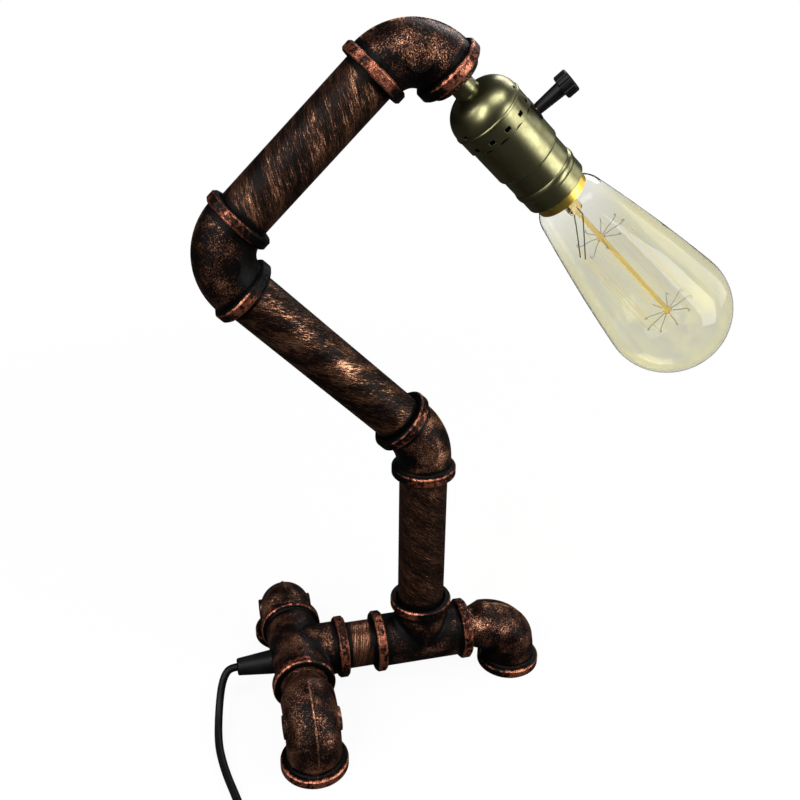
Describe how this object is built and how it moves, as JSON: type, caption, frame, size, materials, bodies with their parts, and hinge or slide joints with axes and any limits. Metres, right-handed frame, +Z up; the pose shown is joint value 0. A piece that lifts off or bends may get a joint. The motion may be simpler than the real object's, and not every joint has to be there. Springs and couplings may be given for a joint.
{
  "type": "table lamp",
  "caption": "Industrial table lamp of threaded pipe and cast fittings: a tripod base, a cranked pipe arm on swivels, and a turn-knob brass holder with a bare filament bulb.",
  "frame": {"origin": "on the floor, under the middle of the lamp's length and width, its cord left out", "axes": "+Z up; +X the way the head and the bulb reach; the arm's own plane is y = 0; the cord leaves towards -X and lies towards -Y"},
  "size_m": [0.2775, 0.2327, 0.3549],
  "materials": {
    "cast_fittings": "black casting with copper rubbed over its high spots",
    "pipes": "black pipe with copper rubbed on in slanting strokes",
    "antique_brass": "antique brass, polished",
    "inner_brass": "plain brass",
    "cap_brass": "bright gold brass",
    "black_steel": "black",
    "black_plastic": "satin black",
    "switch_moulding": "dark brown moulding",
    "card": "brown insulating card",
    "cord_jacket": "satin black jacket",
    "clear_glass": "clear, faintly amber",
    "stem_glass": "clear, amber",
    "black_glass": "black, glossy",
    "fine_wire": "dark wire",
    "blade_metal": "plain brass blades"
  },
  "bodies": {
    "base": {"post_tee": "cast_fittings", "rear_tee": "cast_fittings", "base_nipple": "pipes", "front_foot_elbow": "cast_fittings", "left_foot_elbow": "cast_fittings", "right_foot_elbow": "cast_fittings", "post_pipe": "pipes", "strain_relief": "black_plastic", "base_cord": "cord_jacket", "cord_lead": "cord_jacket", "cord_coil": "cord_jacket", "cord_tail": "cord_jacket", "plug_body": "black_plastic", "plug_blades": "blade_metal"},
    "lower_arm": {"lower_elbow": "cast_fittings", "lower_arm_pipe": "pipes", "lower_arm_cord": "cord_jacket"},
    "upper_arm": {"middle_elbow": "cast_fittings", "upper_arm_pipe": "pipes", "upper_arm_cord": "cord_jacket"},
    "head": {"head_elbow": "cast_fittings", "elbow_bush": "black_steel", "lamp_nipple": "inner_brass", "lock_nut": "inner_brass", "socket_cap": "antique_brass", "socket_shell": "antique_brass", "shell_liner": "card", "switch_body": "switch_moulding", "terminal_screws": "inner_brass", "screw_shell": "inner_brass", "centre_contact": "inner_brass", "head_cord": "cord_jacket", "switch_plate": "black_plastic"},
    "switch": {"switch_shaft": "inner_brass", "switch_knob": "black_plastic"},
    "bulb": {"bulb_cap": "cap_brass", "bulb_insulator": "black_glass", "bulb_contact": "inner_brass", "bulb_glass": "clear_glass", "glass_stem": "stem_glass", "support_wires": "fine_wire", "filament": "fine_wire", "lead_wires": "fine_wire"}
  },
  "joints": [
    {"name": "post_swivel", "type": "hinge", "parent": "base", "child": "lower_arm", "pos_m": [-0.024, 0, 0.1333], "axis": [0, 0, 1], "range_deg": [-90, 90]},
    {"name": "elbow_swivel", "type": "hinge", "parent": "lower_arm", "child": "upper_arm", "pos_m": [-0.10864, 0, 0.23764], "axis": [-0.7071, 0, 0.7071], "range_deg": [-90, 90]},
    {"name": "head_swivel", "type": "hinge", "parent": "upper_arm", "child": "head", "pos_m": [-0.05207, 0, 0.33098], "axis": [0.7071, 0, 0.7071], "range_deg": [-90, 90]},
    {"name": "switch_turn", "type": "hinge", "parent": "head", "child": "switch", "pos_m": [0.01157, 0, 0.30411], "axis": [0.6861, -0.2419, 0.6861], "continuous": true},
    {"name": "bulb_unscrew", "type": "slide", "parent": "head", "child": "bulb", "axis": [0.7071, 0, -0.7071], "range_m": [0, 0.03]}
  ]
}
